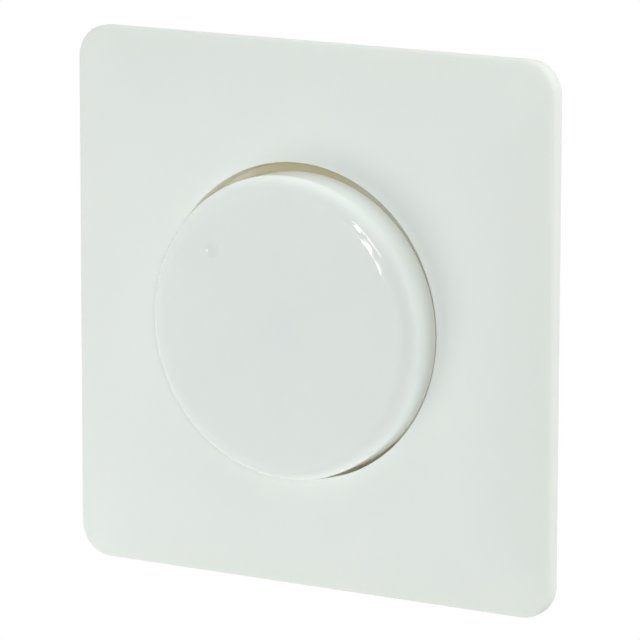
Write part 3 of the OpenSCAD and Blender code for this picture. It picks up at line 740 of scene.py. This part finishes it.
class DIMMER_OT_screws(bpy.types.Operator):
    """Models the threaded claw screws and softens the terminal screws"""

    bl_idname = "dimmer.screws"
    bl_label = "Screws"

    def execute(self, context):
        sizes = context.scene.dimmer_sizes
        steel = zinc_plate("Zinc-plated steel, screws", context.scene.dimmer_colours)
        for number in (1, 2, 3):
            soften(f"terminal_screw_{number}", 0.12 * MM, steel)
        low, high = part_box("claw_screw_right")
        first = self.claw_screw(sizes, low, high)
        rest()
        second = bpy.data.objects.new("claw_screw_left_threaded", first.data.copy())
        bpy.context.scene.collection.objects.link(second)
        edit(second)
        bpy.ops.transform.translate(value=(-(low.x + high.x), 0, 0))
        rest()
        dress(first, steel, "right_claw_screw", "screw_steel", "claw_screw_right")
        dress(second, steel, "left_claw_screw", "screw_steel", "claw_screw_left")
        return {"FINISHED"}

    def claw_screw(self, sizes, low, high):
        """One pan-head screw with a cross recess and a rolled thread, on its own axis."""
        head, length, shank = (high.x - low.x) / 2, high.y - low.y, 1.5 * MM
        head_height, root, pitch = 1.6 * MM, 1.22 * MM, sizes.thread_pitch
        crown, round_edge, edge_height, chamfer = 0.03 * MM, 0.7 * MM, 0.9 * MM, 0.1 * MM
        recess, recess_middle = (3.2 * MM, 1.2 * MM, 0.6 * MM), (0, 0.3 * MM, 0)
        section = [(0.0, 0.0), (0.45 * head, crown)]
        section += arc((head - round_edge, edge_height), round_edge, -80, 0, 6)
        section += [(head, head_height - chamfer), (head - chamfer, head_height), (0.0, head_height)]
        cap = lathe("claw_screw_right_threaded", section, 48)
        for angle in (0, math.pi / 2):
            rest()
            bpy.ops.mesh.primitive_cube_add(size=1, location=recess_middle, rotation=(0, angle, 0))
            bpy.context.object.scale = recess
            cutter = settle("recess_cutter")
            apply_modifier(cap, "BOOLEAN", operation="DIFFERENCE", object=cutter, solver="EXACT")
            bpy.data.objects.remove(cutter)
        # The thread starts inside the head and runs past the tip, so that both ends can be cut flat
        turns = math.ceil((length - head_height) / pitch) + 2
        start, inside_head = head_height - 1.5 * pitch, head_height - 0.2 * MM
        # One tooth, as (radius, share of the pitch)
        tooth = [(root, 0.0), (shank, 0.36), (shank, 0.5), (root, 0.86), (root, 1.0)]
        thread = draw("claw_screw_thread", [(r, start + along * pitch, 0.0) for r, along in tooth])
        apply_modifier(
            thread, "SCREW", axis="Y", screw_offset=pitch, iterations=turns, steps=24, render_steps=24
        )
        edit(thread)
        # Each turn of the thread is joined to the next before its two ends are cut flat
        close_up()
        for at, way in ((inside_head, -1), (length, 1)):
            bpy.ops.mesh.select_all(action="SELECT")
            bpy.ops.mesh.bisect(
                plane_co=(0, at, 0), plane_no=(0, way, 0), use_fill=True, clear_outer=True,
                threshold=0.001 * MM,
            )
        close_up()
        rest()
        thread.select_set(True)
        cap.select_set(True)
        bpy.context.view_layer.objects.active = cap
        bpy.ops.object.join()
        edit(cap)
        bpy.ops.transform.translate(value=((low.x + high.x) / 2, low.y, 0))
        smooth(cap, 30)
        return cap


class DIMMER_OT_inner_pieces(bpy.types.Operator):
    """Finishes the nodes that stay as they are, inside the knob and the housing"""

    bl_idname = "dimmer.inner_pieces"
    bl_label = "Inner pieces"

    def execute(self, context):
        finishes = inner_finishes(context.scene.dimmer_colours)
        for name, node in frame["nodes"].items():
            material = finishes.get(slot_of(name))
            if material:
                node.data.materials.clear()
                node.data.materials.append(material)
        return {"FINISHED"}


class DIMMER_OT_return_spring(bpy.types.Operator):
    """Models the coil spring that lifts the plunger"""

    bl_idname = "dimmer.return_spring"
    bl_label = "Return spring"

    def execute(self, context):
        low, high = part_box("return_spring")
        # Radius of the wire, number of coils, steps along them and length of the spring
        wire, coils, steps, length = 0.22 * MM, 3.5, 112, high.y - low.y
        start = (high.x - wire, low.y + wire, 0)
        rest()
        bpy.ops.mesh.primitive_circle_add(vertices=12, radius=wire, location=start)
        spring = settle("return_spring_coil")
        apply_modifier(
            spring, "SCREW", axis="Y", angle=coils * math.tau, screw_offset=length - 2 * wire,
            iterations=1, steps=steps, render_steps=steps,
        )
        edit(spring)
        bpy.ops.mesh.fill_holes(sides=0)
        close_up()
        smooth(spring, 60)
        steel = bpy.data.materials["Rolled spring steel"]
        dress(spring, steel, "insert", "spring_steel", "return_spring")
        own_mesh(spring)
        return {"FINISHED"}


class DIMMER_OT_stage(bpy.types.Operator):
    """Sets the floor, the white surround, the soft lamps and the camera"""

    bl_idname = "dimmer.stage"
    bl_label = "Stage"

    def execute(self, context):
        scene = context.scene
        scene.view_settings.view_transform = "Standard"
        self.surround(scene)
        self.floor()
        knob_alone = self.group("Knob alone", "INCLUDE")
        knob_spared = self.group("Knob spared", "EXCLUDE")
        # Soft lamps that only shade, the first two all but the knob: name, place, size, power
        front = self.lamp("Front softbox", (0.43, -0.71, 0.16), (0.15, 0.15), 2.2)
        corner = self.lamp("Corner softbox", (0.32, 0.25, -0.55), (0.3, 0.3), 0.8)
        for lamp in (front, corner):
            lamp.light_linking.receiver_collection = knob_spared
        self.lamp("Top softbox", (0.0, -0.2, 0.6), (0.5, 0.3), 0.7)
        self.lamp("Low softbox", (-0.25, -0.28, -0.22), (0.2, 0.2), 0.65)
        self.lamp("Back softbox", (0.5, 0.25, 0.4), (0.3, 0.3), 1.9)
        # Soft lamps for the knob alone: one in front of it, and four that light its edge from behind
        self.lamp("Knob softbox", (0.33, -0.76, 0.16), (0.15, 0.15), 2.0, knob_alone)
        self.lamp("Right softbox", (0.42, 0.28, -0.47), (0.3, 0.3), 2.0, knob_alone)
        self.lamp("High softbox", (0.08, 0.28, 0.63), (0.3, 0.3), 2.2, knob_alone)
        self.lamp("Under softbox", (-0.2, 0.28, -0.6), (0.3, 0.3), 1.0, knob_alone)
        self.lamp("Left softbox", (-0.6, 0.2, 0.0), (0.3, 0.3), 0.6, knob_alone)
        # Panes of a window that only shine in the knob's edge, each turned to lie across it
        self.lamp("Window pane, outer", (0.208, -0.836, 0.545), (0.18, 0.35), 1.1, knob_alone, 45)
        self.lamp("Window pane, high", (0.037, -0.89, 0.491), (0.32, 0.055), 0.65, knob_alone, 53)
        self.lamp("Window pane, middle", (-0.169, -0.987, 0.131), (0.46, 0.044), 0.8, knob_alone, 43)
        self.lamp("Window pane, low", (-0.297, -0.959, -0.044), (0.28, 0.022), 0.25, knob_alone, 32)
        self.camera(scene)
        return {"FINISHED"}

    def surround(self, scene):
        """Even light all round, and plain white wherever the camera, a metal or a glass sees past."""
        world = bpy.data.worlds.new("White surround")
        scene.world = world
        world.use_nodes = True
        tree = world.node_tree
        soft = tree.nodes["Background"]
        soft.inputs["Color"].default_value = linear("#FFFFFF")
        soft.inputs["Strength"].default_value = 0.5
        plain = add(tree, "ShaderNodeBackground", {"Color": linear("#FFFFFF"), "Strength": 1.0})
        rays = add(tree, "ShaderNodeLightPath")
        seen = add(
            tree,
            "ShaderNodeMath",
            {"operation": "ADD"},
            {0: rays.outputs["Is Camera Ray"], 1: rays.outputs["Is Glossy Ray"]},
        )
        shown = add(
            tree,
            "ShaderNodeMath",
            {"operation": "ADD", "use_clamp": True},
            {0: seen.outputs["Value"], 1: rays.outputs["Is Transmission Ray"]},
        )
        both = add(
            tree,
            "ShaderNodeMixShader",
            links={
                0: shown.outputs["Value"],
                1: soft.outputs["Background"],
                2: plain.outputs["Background"],
            },
        )
        tree.links.new(both.outputs["Shader"], tree.nodes["World Output"].inputs["Surface"])

    def floor(self):
        """A pale round floor well below the part, which hangs as on its wall."""
        rest()
        radius, drop = 0.5, 0.6
        bpy.ops.mesh.primitive_circle_add(
            vertices=96, radius=radius, fill_type="NGON", location=(0, 0, -drop)
        )
        floor = settle("stage_floor")
        # Matt painted board: pale, with the faint stipple of a roller
        material = finish(
            "Painted board", linear("#F4F4F2"), linear("#EFEFED"), 60 * MM, (0.8, 0.9), 3 * MM, 0.05 * MM
        )
        floor.data.materials.append(material)

    def group(self, name, state):
        """A group that makes a lamp light the knob alone, or all but the knob."""
        group = bpy.data.collections.new(name)
        group.objects.link(bpy.data.objects["dimmer_knob_cap"])
        group.collection_objects[0].light_linking.link_state = state
        return group

    def lamp(self, name, place, size, power, lit=None, turn=None):
        """One white rectangular lamp that faces the part: with a turn it shines, or else it shades."""
        light = bpy.data.lights.new(name, "AREA")
        light.shape = "RECTANGLE"
        light.size, light.size_y = size
        light.energy = power
        lamp = bpy.data.objects.new(name, light)
        lamp.location = place
        facing = (-Vector(place)).to_track_quat("-Z", "Y").to_matrix()
        lamp.rotation_euler = (facing @ Matrix.Rotation(math.radians(turn or 0), 3, "Z")).to_euler()
        lamp.visible_glossy = turn is not None
        lamp.visible_diffuse = turn is None
        lamp.light_linking.receiver_collection = lit
        lamp.light_linking.blocker_collection = lit
        bpy.context.scene.collection.objects.link(lamp)
        return lamp

    def camera(self, scene):
        """A long lens from the right and a little above, as the picture was taken."""
        azimuth, elevation, roll = math.radians(31.31), math.radians(10.95), math.radians(0.11)
        place = (0.3587, -0.5889, 0.1332)
        away = Vector(
            (
                math.sin(azimuth) * math.cos(elevation),
                -math.cos(azimuth) * math.cos(elevation),
                math.sin(elevation),
            )
        )
        level = Vector((math.cos(azimuth), math.sin(azimuth), 0))
        upward = away.cross(level)
        right = level * math.cos(roll) + upward * math.sin(roll)
        up = away.cross(right)
        lens = bpy.data.cameras.new("Long lens")
        lens.lens = 272.8
        lens.sensor_width = 36.0
        lens.sensor_fit = "HORIZONTAL"
        camera = bpy.data.objects.new("Camera", lens)
        turn = Matrix((right, up, away)).transposed().to_4x4()
        camera.matrix_world = Matrix.Translation(place) @ turn
        scene.collection.objects.link(camera)
        scene.camera = camera


class DIMMER_PT_panel(bpy.types.Panel):
    """Sidebar panel with the pieces, the sizes and the colours"""

    bl_idname = "DIMMER_PT_panel"
    bl_label = "Rotary dimmer"
    bl_space_type = "VIEW_3D"
    bl_region_type = "UI"
    bl_category = "Dimmer"

    def draw(self, context):
        for operator in OPERATORS:
            self.layout.operator(operator.bl_idname)
        for group in (context.scene.dimmer_sizes, context.scene.dimmer_colours):
            for key in group.__annotations__:
                self.layout.prop(group, key)


OPERATORS = (
    DIMMER_OT_inner_pieces,
    DIMMER_OT_cover_plate,
    DIMMER_OT_knob,
    DIMMER_OT_insert,
    DIMMER_OT_claws,
    DIMMER_OT_screws,
    DIMMER_OT_return_spring,
    DIMMER_OT_stage,
)
CLASSES = (DimmerSizes, DimmerColours, DIMMER_PT_panel) + OPERATORS


def register():
    """Registers the classes and gives the scene its sizes and colours."""
    for item in CLASSES:
        bpy.utils.register_class(item)
    bpy.types.Scene.dimmer_sizes = bpy.props.PointerProperty(type=DimmerSizes)
    bpy.types.Scene.dimmer_colours = bpy.props.PointerProperty(type=DimmerColours)


def unregister():
    """Takes back what register gave."""
    del bpy.types.Scene.dimmer_colours
    del bpy.types.Scene.dimmer_sizes
    for item in reversed(CLASSES):
        bpy.utils.unregister_class(item)


def main():
    """Makes every piece in order."""
    register()
    bpy.ops.dimmer.inner_pieces()
    bpy.ops.dimmer.cover_plate()
    bpy.ops.dimmer.knob()
    bpy.ops.dimmer.insert()
    bpy.ops.dimmer.claws()
    bpy.ops.dimmer.screws()
    bpy.ops.dimmer.return_spring()
    bpy.ops.dimmer.stage()
    rest()


if __name__ == "__main__":
    main()
